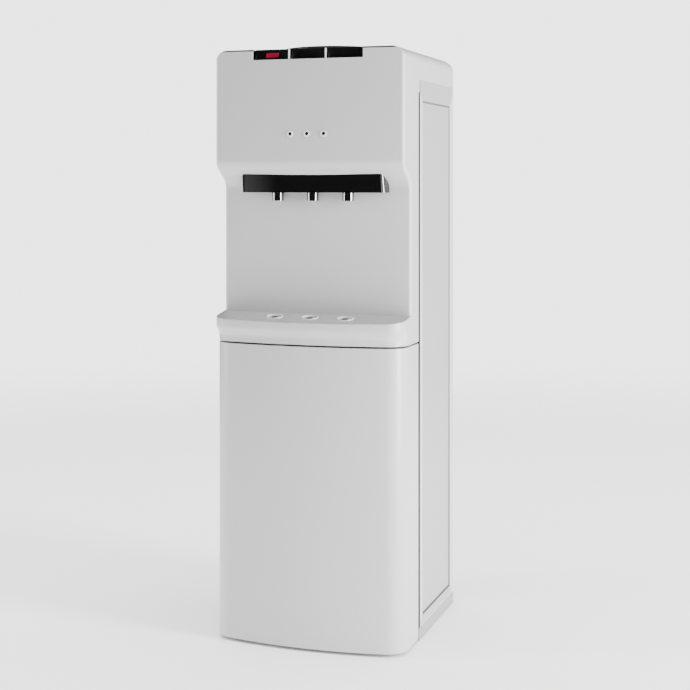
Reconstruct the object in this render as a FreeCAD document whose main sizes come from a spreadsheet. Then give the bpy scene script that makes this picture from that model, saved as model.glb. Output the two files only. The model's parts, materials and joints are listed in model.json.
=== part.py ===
"""Free-standing water cooler with three taps, built as a parametric document of separate pieces.

Millimetres. +Z is up, the taps face -Y, and the origin is on the floor under the middle of the cabinet.
"""
import FreeCAD, Part
import Sketcher
import math
import os
import re

Vec = FreeCAD.Vector
doc = FreeCAD.newDocument("water_cooler")

# Driving dimensions: every piece below takes its size and place from these cells
SIZES = {
    # cabinet
    "cab_width": 320, "cab_depth": 340, "top_z": 953, "seam_back": 112, "seam_gap": 7,
    "skin": 3, "steel": 1.5, "edge_round": 20, "corner_round": 6, "lid_thick": 2.5, "fit_gap": 0.4,
    "base_top": 20, "foot_high": 7, "foot_rad": 14, "foot_inset": 32, "frame_drop": 48,
    "emboss_deep": 2.2, "emboss_slope": 42, "emboss_front": 10, "emboss_side": 16, "emboss_top": 14,
    "emboss_low": 16, "gasket_set": 1.2, "gasket_in": 0.2,
    # head and recess
    "head_bulge": 24.5, "head_ends": 30, "head_reach": 40, "head_drop": 177, "under_angle": 35,
    "recess_deep": 64, "head_round": 22, "cove_round": 16, "shelf_drop": 470, "shelf_tall": 44,
    "shelf_fall": 9.5, "rim_high": 9, "rim_ends": 16, "rim_round": 30, "ogee_high": 17,
    "door_back": 6, "door_ends": 25.5, "door_round": 36,
    # keys and indicators
    "key_count": 3, "key_pitch": 62, "key_wide": 60.2, "key_drop": 17, "key_set": 5.6, "key_lean": 8,
    "key_long": 36, "key_skirt": 5, "shaft_rad": 2, "shaft_in": 5, "key_wall": 2, "key_proud": 0.6,
    "shaft_over": 4, "rail_gap": 1.6, "rail_thick": 2.4, "rail_drop": 6, "lug_thick": 3,
    "rib_wide": 1, "rib_set": 0.6, "rib_deep": 6, "rib_hold": 8,
    "lock_wide": 21, "lock_high": 9, "lock_rise": 3, "lock_travel": 5, "lock_deep": 1.4, "lock_proud": 1,
    "lamp_pitch": 28.3, "lamp_drop": 136, "lamp_rad": 2.8, "lamp_proud": 0.3, "lamp_run": 0.05,
    "lamp_deep": 9, "board_thick": 1.6, "board_half": 12,
    # valve housing and spouts
    "bar_half": 120, "bar_high": 29.5, "bar_drop": 230, "bar_lean": 6, "bar_deep": 15, "bar_flare": 7,
    "bar_round": 9, "pipe_rad": 4, "pipe_long": 22, "pipe_rise": 12, "pipe_gap": 0.8,
    "tap_pitch": 60, "tap_rad": 9.5, "tap_wall": 2.5, "tap_drop": 13.5, "tap_front": 10.5,
    # drip tray
    "tray_half": 111, "tray_thick": 4, "tray_rim": 9, "tray_back": 3, "pan_in": 6, "pan_deep": 14,
    "dimple_rad": 13.5, "dimple_deep": 1.2, "dimple_front": 25, "drain_rad": 3.5, "tray_gap": 0.8,
    # door and cabinet
    "door_low": 5, "door_gap": 3, "door_seam": 1.5, "hinge_in": 10, "hinge_rad": 3, "hinge_fore": 22,
    "hinge_run": 0.06, "hinge_half": 8, "hinge_plate": 2, "hinge_low": 1.5, "hinge_pin": 10, "knuckle": 12,
    "hinge_room": 2, "cab_set": 4, "liner_low": 40, "liner_drop": 43, "deck_drop": 21,
    "catch_wide": 30, "catch_high": 9.5, "catch_in": 30, "catch_gap": 0.5, "catch_deep": 8,
    "strike_thick": 1,
    # bottle seat and tanks
    "seat_rad": 88, "seat_rise": 8, "seat_gap": 1.9, "well_rad": 32, "well_deep": 70,
    "lip_round": 2, "lip_wide": 6, "funnel_wide": 10, "funnel_deep": 18, "well_top": 24,
    "feed_rad": 8, "feed_high": 8, "probe_foot": 22, "probe_foot_high": 3, "probe_rad": 11,
    "probe_neck": 9, "probe_tip": 5, "probe_bore": 4, "probe_top": 12, "probe_base": 6,
    "cold_high": 150, "cold_drop": 313, "foam": 20, "tank_gap": 18, "hot_inset": 12, "hot_gap": 15,
    "hot_rise": 13, "hot_slope": 12, "hot_crown": 16, "stand_in": 4, "stand_wide": 10, "leg_rad": 4,
    # back
    "back_in": 24, "vent_wide": 60, "vent_high": 4, "vent_rise": 25, "vent_spread": 72,
    "tube_rad": 2.4, "tube_in": 18, "grid_low": 130, "grid_drop": 353, "wire_rad": 0.9, "wire_span": 230,
    "clip_half": 6, "clip_tall": 5, "comp_rad": 48, "comp_high": 150, "comp_gap": 6, "comp_foot": 14,
    "comp_chin": 8, "comp_brow": 34, "comp_crown": 10, "comp_dome": 14, "mount_rad": 9, "mount_high": 12,
    "switch_wide": 13, "switch_high": 20, "switch_drop": 273, "rocker_gap": 0.5, "rocker_trim": 1.2,
    "rocker_deep": 5, "rocker_proud": 3, "rocker_mid": 1.2, "rocker_low": 0.4, "rocker_taper": 2,
    "fitting_drop": 60, "gland_rad": 9, "gland_tip": 6, "gland_long": 14, "cord_rad": 3.8,
    "outlet_rad": 8, "outlet_long": 10, "flange_rad": 14, "flange_thick": 2, "cap_rad": 11, "cap_long": 12,
    "cap_set": 3, "cap_deep": 7, "screw_rad": 3.5, "screw_high": 2, "screw_in": 12, "screw_edge": 15,
    "screw_rise": 40,
}
sheet = doc.addObject("Spreadsheet::Sheet", "sizes")
for row, (alias, value) in enumerate(SIZES.items(), start=1):
    sheet.set(f"A{row}", alias)
    sheet.set(f"B{row}", str(value))
    sheet.setAlias(f"B{row}", alias)
doc.recompute()

# Places worked out from the driving dimensions
PLACES = {
    "half_w": "cab_width/2",
    "front_y": "-cab_depth/2",
    "back_y": "cab_depth/2",
    "seam_y": "front_y + seam_back",
    "wall_y": "front_y + recess_deep",
    "back_sheet_y": "back_y - back_in",
    "key_front": "front_y + head_bulge + key_set",
    "key_back": "key_front + key_lean + key_long",
    "seat_y": "key_back + seat_gap + seat_rad",
    "tap_y": "wall_y - tap_front",
    "dimple_y": "wall_y - dimple_front",
    "comp_back": "back_sheet_y - comp_gap - comp_rad",
    "liner_deep": "comp_back - comp_rad - comp_gap - seam_y - cab_set",
    "tank_y": "(seam_y + cab_set + back_sheet_y)/2",
    "cold_rad": "(back_sheet_y - seam_y - cab_set)/2 - foam - tank_gap",
    "hot_rad": "cold_rad - hot_inset",
    "lid_low": "top_z - lid_thick",
    "key_low": "top_z - key_drop",
    "frame_low": "top_z - frame_drop",
    "lamp_z": "top_z - lamp_drop",
    "head_low": "top_z - head_drop",
    "bar_low": "top_z - bar_drop",
    "cold_low": "top_z - cold_drop",
    "switch_z": "top_z - switch_drop",
    "grid_high": "top_z - grid_drop",
    "shelf_low": "top_z - shelf_drop",
    "shelf_back": "shelf_low + shelf_tall",
    "shelf_front": "shelf_back - shelf_fall",
    "door_high": "shelf_low - door_gap",
    "liner_high": "shelf_low - liner_drop",
    "deck_z": "shelf_low - deck_drop",
    "hot_low": "deck_z + hot_rise",
    "hot_high": "cold_low - foam - hot_gap - hot_low",
}
ALIASES = re.compile(r"\b(" + "|".join(list(SIZES) + list(PLACES)) + r")\b")


def expand(text):
    """The expression with each worked-out place replaced by the cells it comes from."""
    text = str(text)
    while any(re.search(rf"\b{name}\b", text) for name in PLACES):
        text = re.sub(r"\b(" + "|".join(PLACES) + r")\b", lambda m: f"({PLACES[m.group(1)]})", text)
    return text


def bound(text):
    """The expression as the document's expression engine reads it."""
    return ALIASES.sub(lambda m: f"sizes.{m.group(1)}", expand(text))


def val(text):
    """The expression's number now, from the sheet's cells."""
    number = sheet.evalExpression(bound(text))
    return float(getattr(number, "Value", number))


# Helpers that make document objects whose sizes are bound to the sheet
pieces = []


def piece(obj, label):
    """Marks a document object as a finished piece of the cooler."""
    obj.Label = label
    pieces.append(obj)
    return obj


def bind_place(obj, at):
    for axis, text in zip("xyz", at):
        obj.setExpression(f"Placement.Base.{axis}", bound(text))


def box(name, low, high):
    """A Part::Box between two corners, each given as three expressions."""
    obj = doc.addObject("Part::Box", name)
    for prop, a, b in zip(("Length", "Width", "Height"), low, high):
        obj.setExpression(prop, bound(f"({b}) - ({a})"))
    bind_place(obj, low)
    return obj


def cylinder(name, radius, length, at, along="z"):
    """A Part::Cylinder from a point along one axis."""
    obj = doc.addObject("Part::Cylinder", name)
    obj.setExpression("Radius", bound(radius))
    obj.setExpression("Height", bound(length))
    turns = {"z": (Vec(0, 0, 1), 0), "x": (Vec(0, 1, 0), 90), "y": (Vec(1, 0, 0), -90)}
    obj.Placement = FreeCAD.Placement(Vec(), FreeCAD.Rotation(*turns[along]))
    bind_place(obj, at)
    return obj


def cut(name, base, *tools):
    """The base less its tools."""
    for count, tool in enumerate(tools):
        obj = doc.addObject("Part::Cut", f"{name}_cut{count}")
        obj.Base = base
        obj.Tool = tool
        base = obj
    return base


def fuse(name, *shapes):
    """One solid from several that meet."""
    obj = doc.addObject("Part::MultiFuse", name)
    obj.Shapes = list(shapes)
    obj.Refine = True
    return obj


def group(name, *shapes):
    """Several like solids kept in one piece."""
    obj = doc.addObject("Part::Compound", name)
    obj.Links = list(shapes)
    return obj


def new_body(name):
    return doc.addObject("PartDesign::Body", name)


def sketch_on(body, role, offset="0"):
    """An empty sketch on one of the body's origin planes, moved along that plane's normal."""
    plane = next(f for f in body.Origin.OriginFeatures if f.Role == role)
    sketch = body.newObject("Sketcher::SketchObject", f"{body.Name}_sketch")
    sketch.AttachmentSupport = (plane, [""])
    sketch.MapMode = "FlatFace"
    sketch.setExpression("AttachmentOffset.Base.z", bound(offset))
    return sketch


def outline(body, role, corners, offset="0"):
    """A closed sketch of straight sides whose corners are bound to expressions."""
    sketch = sketch_on(body, role, offset)
    spots = [Vec(val(a), val(b), 0) for a, b in corners]
    count = len(spots)
    for i in range(count):
        sketch.addGeometry(Part.LineSegment(spots[i], spots[(i + 1) % count]), False)
    for i in range(count):
        sketch.addConstraint(Sketcher.Constraint("Coincident", i, 2, (i + 1) % count, 1))
    for i, spot in enumerate(spots):
        for kind, text, start in zip(("DistanceX", "DistanceY"), corners[i], (spot.x, spot.y)):
            index = sketch.addConstraint(Sketcher.Constraint(kind, -1, 1, i, 1, start))
            sketch.setExpression(f"Constraints[{index}]", bound(text))
    return sketch


def circles(body, role, rounds, offset="0"):
    """A sketch of circles, each (x, y, radius), bound to expressions."""
    sketch = sketch_on(body, role, offset)
    for i, (x, y, radius) in enumerate(rounds):
        sketch.addGeometry(Part.Circle(Vec(val(x), val(y), 0), Vec(0, 0, 1), val(radius)), False)
        index = sketch.addConstraint(Sketcher.Constraint("Radius", i, val(radius)))
        sketch.setExpression(f"Constraints[{index}]", bound(radius))
        for kind, text in (("DistanceX", x), ("DistanceY", y)):
            index = sketch.addConstraint(Sketcher.Constraint(kind, -1, 1, i, 3, val(text)))
            sketch.setExpression(f"Constraints[{index}]", bound(text))
    return sketch


def pad(body, sketch, length, symmetric=False, back=False):
    feature = body.newObject("PartDesign::Pad", f"{body.Name}_pad")
    feature.Profile = sketch
    feature.setExpression("Length", bound(length))
    feature.SideType = "Symmetric" if symmetric else "One side"
    feature.Reversed = back
    return feature


def pocket(body, sketch, length, back=False):
    feature = body.newObject("PartDesign::Pocket", f"{body.Name}_pocket")
    feature.Profile = sketch
    feature.setExpression("Length", bound(length))
    feature.Reversed = back
    return feature


def turned(name, corners, at=("0", "0", "0")):
    """A body turned about its own Z axis from (radius, height) corners."""
    body = new_body(name)
    sketch = outline(body, "XZ_Plane", corners)
    feature = body.newObject("PartDesign::Revolution", f"{name}_turn")
    feature.Profile = sketch
    feature.ReferenceAxis = (sketch, ["V_Axis"])
    bind_place(body, at)
    return body


def shaped(name, shape):
    """A Part::Feature for a moulded form that no single feature makes."""
    obj = doc.addObject("Part::Feature", name)
    obj.Shape = shape
    return obj


# Moulded outlines of the front, used by the head, the shelf, the door and the lid
def bowed_plan(nose, ends, radius, low, high, wall=0.0):
    """A block with a bowed front between two heights: nose and ends are how far the middle and the
    corners of the front stand behind the box's front, and wall draws every side in."""
    half = val("half_w") - wall
    back = val("seam_y")
    tip = val("front_y") + nose + wall
    corner = val("front_y") + ends + wall
    sides = Part.Wire([
        Part.LineSegment(Vec(half, back, low), Vec(-half, back, low)).toShape(),
        Part.LineSegment(Vec(-half, back, low), Vec(-half, corner, low)).toShape(),
        Part.Arc(Vec(-half, corner, low), Vec(0, tip, low), Vec(half, corner, low)).toShape(),
        Part.LineSegment(Vec(half, corner, low), Vec(half, back, low)).toShape(),
    ])
    block = Part.Face(sides).extrude(Vec(0, 0, high - low))
    reach = max(radius - wall, 1.0)
    edges = [e for e in block.Edges
             if abs(e.BoundBox.ZLength - (high - low)) < 1e-6 and e.BoundBox.YMax < back - 1.0]
    return block.makeFillet(reach, edges)


def slab(low, high):
    """A plain block between two corners."""
    return Part.makeBox(high[0] - low[0], high[1] - low[1], high[2] - low[2], Vec(*low))


def rounded_top(wall=0.0):
    """Everything under the cooler's outline: round along both sides and along the back of its top."""
    half, back, top = val("half_w") - wall, val("back_y") - wall, val("top_z")
    front = 2 * val("front_y")
    radius = val("edge_round") - wall
    across = slab((-half, front, 0), (half, back, top))
    across = across.makeFillet(radius, [e for e in across.Edges if e.BoundBox.ZMin > top - 1
                                        and e.BoundBox.XLength < 1])
    along = slab((-half, front, 0), (half, back, top))
    along = along.makeFillet(radius, [e for e in along.Edges if e.BoundBox.ZMin > top - 1
                                      and e.BoundBox.YMin > back - 1])
    return across.common(along)


def extruded_side(corners, half):
    """A (y, z) outline drawn along X from -half to half."""
    spots = [Vec(-half, y, z) for y, z in corners]
    return Part.Face(Part.makePolygon(spots + spots[:1])).extrude(Vec(2 * half, 0, 0))


# Front moulding: head, dispensing recess and shelf in one white shell
OGEE_STEPS = 8


def shelf_line(y):
    """Height of the sloping shelf top at y: it drains towards the front."""
    run = val("wall_y") - val("front_y")
    return val("shelf_front") + (val("shelf_back") - val("shelf_front")) * (y - val("front_y")) / run


def under_shelf(drop=0.0):
    """Everything below the shelf's sloping top, lowered by drop, as far back as the seam."""
    front, back = 2 * val("front_y"), val("seam_y")
    return extruded_side([(front, 0), (back, 0), (back, shelf_line(back) - drop),
                          (front, shelf_line(front) - drop)], val("cab_width"))


def head_profile(wall=0.0):
    """Side outline of the head and recess wall as one smooth wire: front, round lip, sloping underside,
    cove and wall. wall draws it in for the hollow behind the skin."""
    nose, wall_y = val("front_y + head_bulge") + wall, val("wall_y") + wall
    back, top, low = val("seam_y + head_reach"), val("lid_low"), val("shelf_low") - wall
    lip, cove = val("head_round") - wall, val("cove_round") + wall
    angle = math.radians(val("under_angle"))
    start = Vec(0, nose, val("head_low"))
    centre = start + Vec(0, lip, 0)

    def on_lip(turn):
        return centre + Vec(0, -math.cos(turn), -math.sin(turn)) * lip

    swing = math.pi / 2 - angle
    end = on_lip(swing)
    run = Vec(0, math.cos(angle), -math.sin(angle))
    corner = end + run * ((wall_y - end.y) / run.y)
    trim = cove * math.tan(swing / 2)
    into, out = corner - run * trim, corner - Vec(0, 0, trim)
    middle = out - Vec(0, cove, 0) + Vec(0, math.cos(swing / 2), math.sin(swing / 2)) * cove
    return Part.Wire([
        Part.LineSegment(Vec(0, back, top), Vec(0, nose, top)).toShape(),
        Part.LineSegment(Vec(0, nose, top), start).toShape(),
        Part.Arc(start, on_lip(swing / 2), end).toShape(),
        Part.LineSegment(end, into).toShape(),
        Part.Arc(into, middle, out).toShape(),
        Part.LineSegment(out, Vec(0, wall_y, low)).toShape(),
        Part.LineSegment(Vec(0, wall_y, low), Vec(0, back, low)).toShape(),
        Part.LineSegment(Vec(0, back, low), Vec(0, back, top)).toShape(),
    ])


def head_block(wall=0.0):
    """Head and recess wall: the side outline swung round the centre of the front's shallow bow."""
    half, seam = val("half_w") - wall, val("seam_y")
    rise = val("head_ends - head_bulge")
    bow = (val("half_w") ** 2 + rise ** 2) / (2 * rise)
    axis = Vec(0, val("front_y + head_bulge") + bow, 0)
    spread = 2.2 * math.degrees(math.asin(val("half_w") / bow))
    block = Part.Face(head_profile(wall)).copy()
    block.rotate(axis, Vec(0, 0, 1), -spread / 2)
    block = block.revolve(axis, Vec(0, 0, 1), spread)
    block = block.common(slab((-half, 2 * val("front_y"), 0), (half, seam, val("top_z"))))
    sides = [e for e in block.Edges if e.BoundBox.XLength < 1e-6 and abs(abs(e.BoundBox.XMax) - half) < 1e-6
             and e.BoundBox.YMax < seam - 1 and e.BoundBox.ZLength > 1e-3]
    block = block.makeFillet(max(val("corner_round") - wall, 1.0), sides)
    return block.common(rounded_top(wall))


def rim_ogee():
    """The soft S-curve that draws the shelf's rim in to the narrower band above the door."""
    top, tall = val("shelf_front - rim_high"), val("ogee_high")
    wires = []
    for step in range(OGEE_STEPS + 1):
        run = step / OGEE_STEPS
        ease = run * run * (3 - 2 * run)
        nose = val("door_back") * ease
        ends = val("rim_ends") + val("door_ends - rim_ends") * ease
        radius = val("rim_round") + val("door_round - rim_round") * ease
        level = top - tall * run
        block = bowed_plan(nose, ends, radius, level, level + tall)
        wires.append(min(block.Faces, key=lambda face: face.BoundBox.ZMax).OuterWire)
    return Part.makeLoft(wires, True, True)


def front_moulding():
    skin, shelf_low = val("skin"), val("shelf_low")
    rim_low = val("shelf_front - rim_high")
    rim = bowed_plan(0, val("rim_ends"), val("rim_round"), rim_low, val("head_low"))
    rim = rim.common(under_shelf())
    fascia = bowed_plan(val("door_back"), val("door_ends"), val("door_round"), shelf_low, val("shelf_front"))
    fascia = fascia.common(under_shelf(skin))
    outer = head_block().fuse([rim, rim_ogee(), fascia]).removeSplitter()
    shelf_room = bowed_plan(val("door_back"), val("door_ends"), val("door_round"), shelf_low - skin,
                            val("shelf_front - tray_thick") - skin, skin)
    return outer.cut(head_block(skin)).cut(shelf_room)



def spread(count, pitch):
    """Places of evenly pitched pieces about the middle, as expressions."""
    return [f"({i} - ({count} - 1)/2)*{pitch}" for i in range(count)]


KEYS = int(val("key_count"))
KEY_NAMES = ("hot", "normal", "cold")


# Drip tray: a plate laid in the shelf's top, flush with it, over a pan that hangs through the shelf
def tray_plan(gap, top, low):
    """The tray's bowed block between two heights, drawn in by gap from its seat."""
    block = bowed_plan(val("tray_rim") + gap, val("rim_ends + tray_rim") + gap, val("corner_round"), low, top)
    half = val("tray_half") - gap
    return block.common(slab((-half, val("front_y"), low), (half, val("wall_y - tray_back") - gap, top)))


def tray_seat(gap, drop):
    """The seat cut into the shelf, or the plate itself when gap is above zero."""
    block = tray_plan(gap, val("head_low"), val("shelf_low"))
    return block.common(under_shelf()).cut(under_shelf(drop))


def drip_tray():
    plate = tray_seat(val("tray_gap"), val("tray_thick"))
    rad, deep, thick = val("dimple_rad"), val("dimple_deep"), val("tray_thick")
    ball = (rad ** 2 + deep ** 2) / (2 * deep)
    slope = math.atan2(val("shelf_fall"), val("recess_deep"))
    upright = Vec(0, -math.sin(slope), math.cos(slope))
    for place in spread(KEYS, "tap_pitch"):
        spot = Vec(val(place), val("dimple_y"), shelf_line(val("dimple_y")))
        plate = plate.cut(Part.makeSphere(ball, spot + upright * (ball - deep)))
        drain = Part.makeCylinder(val("drain_rad"), 4 * thick, spot - upright * 2 * thick, upright)
        plate = plate.cut(drain)
    return plate


def drip_pan():
    """The catch pan under the tray's plate: an open box hung from the plate."""
    half, skin = val("tray_half - pan_in"), val("skin") / 2
    back, front = val("wall_y - tray_back - pan_in"), val("front_y + rim_ends + tray_rim + pan_in")
    low = val("shelf_front - tray_thick - pan_deep")
    outside = slab((-half, front, low), (half, back, val("head_low")))
    inside = slab((-half + skin, front + skin, low + skin), (half - skin, back - skin, val("head_low")))
    return outside.cut(inside).common(under_shelf(val("tray_thick")))


def pan_way():
    """The opening through the shelf that the pan hangs in."""
    gap = 2 * val("fit_gap")
    half = val("tray_half - pan_in") + gap
    back = val("wall_y - tray_back - pan_in") + gap
    front = val("front_y + rim_ends + tray_rim + pan_in") - gap
    return slab((-half, front, val("shelf_low") - 1), (half, back, val("shelf_back")))


def key_notch():
    """The gap across the head's top front edge that the keys stand in."""
    half = val("key_pitch")*KEYS/2 + val("fit_gap")
    return slab((-half, 2 * val("front_y"), val("key_low")),
                (half, val("key_back + fit_gap"), val("top_z") + 1))


moulding = front_moulding().cut(tray_seat(0, val("tray_thick"))).cut(pan_way()).cut(key_notch())
for place in spread(KEYS, "lamp_pitch"):
    spot = Vec(val(place), val("front_y"), val("lamp_z"))
    bore = Part.makeCylinder(val("lamp_rad"), val("head_bulge + lamp_deep"), spot, Vec(0, 1, 0))
    moulding = moulding.cut(bore)
for place in spread(KEYS - 1, "key_pitch"):
    face = val("front_y + head_bulge + rib_set")
    rib = slab((val(f"{place} - rib_wide/2"), face, val("key_low - rib_hold")),
               (val(f"{place} + rib_wide/2"), face + val("rib_deep"), val("top_z - rib_set")))
    moulding = moulding.fuse(rib)
piece(shaped("front_moulding", moulding), "front_moulding")
piece(shaped("drip_tray", drip_tray()), "drip_tray")
piece(shaped("drip_pan", drip_pan()), "drip_pan")

# Top: white frame over the side panels, dark lid over everything, round bottle seat in the lid
def top_frame():
    wall, half = val("skin"), val("half_w")
    band = slab((-half, val("seam_y"), val("frame_low")), (half, val("back_y"), val("lid_low")))
    room = slab((-half + wall, val("seam_y") - 1, 0), (half - wall, val("back_y") - wall, val("top_z")))
    return band.common(rounded_top()).cut(room.common(rounded_top(wall)))


def top_lid():
    wide = val("cab_width")
    plan = head_block().common(slab((-wide, -wide, val("lid_low") - 1), (wide, wide, val("lid_low"))))
    face = max((f for f in plan.Faces if abs(f.BoundBox.ZMin - val("lid_low")) < 1e-6), key=lambda f: f.Area)
    front = face.extrude(Vec(0, 0, val("lid_thick")))
    rear = slab((-val("half_w"), val("seam_y"), val("lid_low")), (val("half_w"), val("back_y"), val("top_z")))
    lid = front.fuse(rear).removeSplitter().common(rounded_top()).cut(key_notch())
    below = Vec(0, val("seat_y"), val("lid_low - lid_thick"))
    hole = Part.makeCylinder(val("seat_rad - skin"), val("3*lid_thick"), below)
    return lid.cut(hole)


piece(shaped("top_frame", top_frame()), "top_frame")
piece(shaped("top_lid", top_lid()), "top_lid")

# Bottle seat: a dark funnel in the lid, a cup below it, and the probe that opens the bottle's cap
SEAT = ("0", "seat_y", "0")
seat_profile = [
    ("seat_rad", "top_z"), ("seat_rad", "top_z + seat_rise - lip_round"),
    ("seat_rad - lip_round", "top_z + seat_rise"), ("seat_rad - lip_wide", "top_z + seat_rise"),
    ("well_rad + funnel_wide", "top_z - funnel_deep"), ("well_rad", "top_z - well_top"),
    ("well_rad + skin", "top_z - well_top"), ("well_rad + funnel_wide", "top_z - funnel_deep - skin"),
    ("seat_rad - skin - fit_gap", "top_z - lid_thick - 2*lip_round"), ("seat_rad - skin - fit_gap", "top_z"),
]
piece(turned("bottle_seat", seat_profile, SEAT), "bottle_seat")
well_profile = [
    ("well_rad", "top_z - well_top"), ("well_rad", "top_z - well_deep"), ("feed_rad", "top_z - well_deep"),
    ("feed_rad", "top_z - well_deep - feed_high"), ("feed_rad + skin", "top_z - well_deep - feed_high"),
    ("feed_rad + skin", "top_z - well_deep - skin"), ("well_rad + skin", "top_z - well_deep - skin"),
    ("well_rad + skin", "top_z - well_top"),
]
piece(turned("bottle_well", well_profile, SEAT), "bottle_well")
probe_profile = [
    ("feed_rad", "top_z - well_deep"), ("probe_foot", "top_z - well_deep"),
    ("probe_foot", "top_z - well_deep + probe_foot_high"),
    ("probe_rad", "top_z - well_deep + 2*probe_foot_high"),
    ("probe_neck", "top_z - 2*probe_top"), ("probe_tip", "top_z - probe_top"),
    ("probe_bore", "top_z - probe_top - probe_bore"), ("probe_base", "top_z - well_deep + feed_high"),
]
piece(turned("bottle_probe", probe_profile, SEAT), "bottle_probe")

# Keys: three caps across the head's top edge, on one shaft behind them; the hot key carries a red lock slide
KEY_ROOM = "key_low - key_skirt"
LOCK_LOW = "key_low + lock_rise"
LOCK_HIGH = "key_low + lock_rise + lock_high"


def face_y(height):
    """Where the key's leaning front face is at a height, as an expression."""
    return f"key_front + key_lean*({height} - key_low + key_skirt)/(top_z + key_proud - key_low + key_skirt)"


for name, place in zip(KEY_NAMES, spread(KEYS, "key_pitch")):
    cap = new_body(f"key_{name}")
    side = [("key_front", KEY_ROOM), ("key_front + key_lean", "top_z + key_proud"),
            ("key_back", "top_z + key_proud"), ("key_back", KEY_ROOM)]
    pad(cap, outline(cap, "YZ_Plane", side, place), "key_wide", symmetric=True)
    room = [("key_front + 2*key_wall", KEY_ROOM), ("key_front + key_lean + key_wall", "top_z - key_wall"),
            ("key_back - 2*shaft_in", "top_z - key_wall"), ("key_back - 2*shaft_in", KEY_ROOM)]
    doc.recompute()
    inside = outline(cap, "YZ_Plane", room, f"{place} + key_wide/2 - key_wall")
    pocket(cap, inside, "key_wide - 2*key_wall")
    doc.recompute()
    bore = circles(cap, "YZ_Plane", [("key_back - shaft_in", "key_low", "shaft_rad + hinge_run")],
                   f"{place} + key_wide/2")
    pocket(cap, bore, "key_wide")
    doc.recompute()
    if name == "hot":
        slot = [("key_front - lock_travel", LOCK_LOW), (f"{face_y(LOCK_LOW)} + lock_deep", LOCK_LOW),
                (f"{face_y(LOCK_HIGH)} + lock_deep", LOCK_HIGH), ("key_front - lock_travel", LOCK_HIGH)]
        pocket(cap, outline(cap, "YZ_Plane", slot, f"{place} + lock_wide/2 + lock_travel + fit_gap"),
               "lock_wide + lock_travel + 2*fit_gap")
        slide = new_body("lock_slide")
        low, high = f"{LOCK_LOW} + fit_gap", f"{LOCK_HIGH} - fit_gap"
        bar = [(f"{face_y(low)} - lock_proud", low), (f"{face_y(low)} + lock_deep - fit_gap", low),
               (f"{face_y(high)} + lock_deep - fit_gap", high), (f"{face_y(high)} - lock_proud", high)]
        pad(slide, outline(slide, "YZ_Plane", bar, place), "lock_wide", symmetric=True)
        piece(slide, "lock_slide")
    piece(cap, f"key_{name}")
SHAFT_HALF = "key_pitch*key_count/2 + shaft_over"
piece(cylinder("key_shaft", "shaft_rad", f"2*({SHAFT_HALF})",
               (f"-({SHAFT_HALF})", "key_back - shaft_in", "key_low"), "x"), "key_shaft")
RAIL_FRONT = "key_back + rail_gap"
rail = box("key_rail", (f"-({SHAFT_HALF})", RAIL_FRONT, "key_low - rail_drop"),
           (SHAFT_HALF, f"{RAIL_FRONT} + rail_thick", "lid_low"))
lugs = []
for low, high in ((f"-({SHAFT_HALF})", f"-({SHAFT_HALF}) + lug_thick"),
                  (f"{SHAFT_HALF} - lug_thick", SHAFT_HALF)):
    lugs.append(box("key_lug", (low, "key_back - 2*shaft_in", "key_low - rail_drop"),
                    (high, RAIL_FRONT, "lid_low")))
rail = fuse("key_carrier_block", rail, *lugs)
rail = cut("key_carrier", rail, cylinder("key_carrier_bore", "shaft_rad", "cab_width",
                                         ("-half_w", "key_back - shaft_in", "key_low"), "x"))
piece(rail, "key_carrier")

# Indicator lamps: three lenses in the head's face, on a board behind it
LAMP_FRONT = "front_y + head_bulge - lamp_proud"
LAMP_BACK = "front_y + head_bulge + lamp_deep"
lenses = [cylinder("lamp", "lamp_rad - lamp_run", f"{LAMP_BACK} - ({LAMP_FRONT})",
                   (place, LAMP_FRONT, "lamp_z"), "y")
          for place in spread(KEYS, "lamp_pitch")]
piece(group("indicator_lamps", *lenses), "indicator_lamps")
piece(box("indicator_board", ("-lamp_pitch*1.6", LAMP_BACK, "lamp_z - board_half"),
          ("lamp_pitch*1.6", f"{LAMP_BACK} + board_thick", "lamp_z + board_half")), "indicator_board")


# Valve housing: a black bar in the corner under the head, with chrome spouts below it
def valve_housing():
    low, high = val("bar_low"), val("bar_low + bar_high")
    wall_y, face = val("wall_y"), val("wall_y - bar_deep")
    lean, half, flare = val("bar_lean"), val("bar_half"), val("bar_flare")
    back = wall_y + val("cove_round")
    side = extruded_side([(face, low), (face - lean, high), (back, high), (back, low)], val("half_w"))
    ends = Part.Face(Part.makePolygon([Vec(-half, face - lean, low), Vec(half, face - lean, low),
                                       Vec(half + flare, back, low), Vec(-half - flare, back, low),
                                       Vec(-half, face - lean, low)])).extrude(Vec(0, 0, high - low))
    bar = side.common(ends)
    front = [e for e in bar.Edges if e.BoundBox.YMax < face + 1 and e.BoundBox.XLength < 3
             and e.BoundBox.ZLength > 5]
    bar = bar.makeFillet(val("bar_round"), front)
    return bar.cut(head_block())


piece(shaped("valve_housing", valve_housing()), "valve_housing")
spout_profile = [("tap_rad - tap_wall", "bar_low - tap_drop"), ("tap_rad", "bar_low - tap_drop"),
                 ("tap_rad", "bar_low"), ("tap_rad - tap_wall", "bar_low")]
for name, place in zip(KEY_NAMES, spread(KEYS, "tap_pitch")):
    piece(turned(f"spout_{name}", spout_profile, (place, "tap_y", "0")), f"spout_{name}")

# Door: a bowed white skin over an inner panel with hinge blocks, on two pins near its right edge
HINGE_X = "half_w - hinge_in"
HINGE_Y = "seam_y - hinge_fore"
DOOR_BACK = "seam_y - door_seam"


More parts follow.
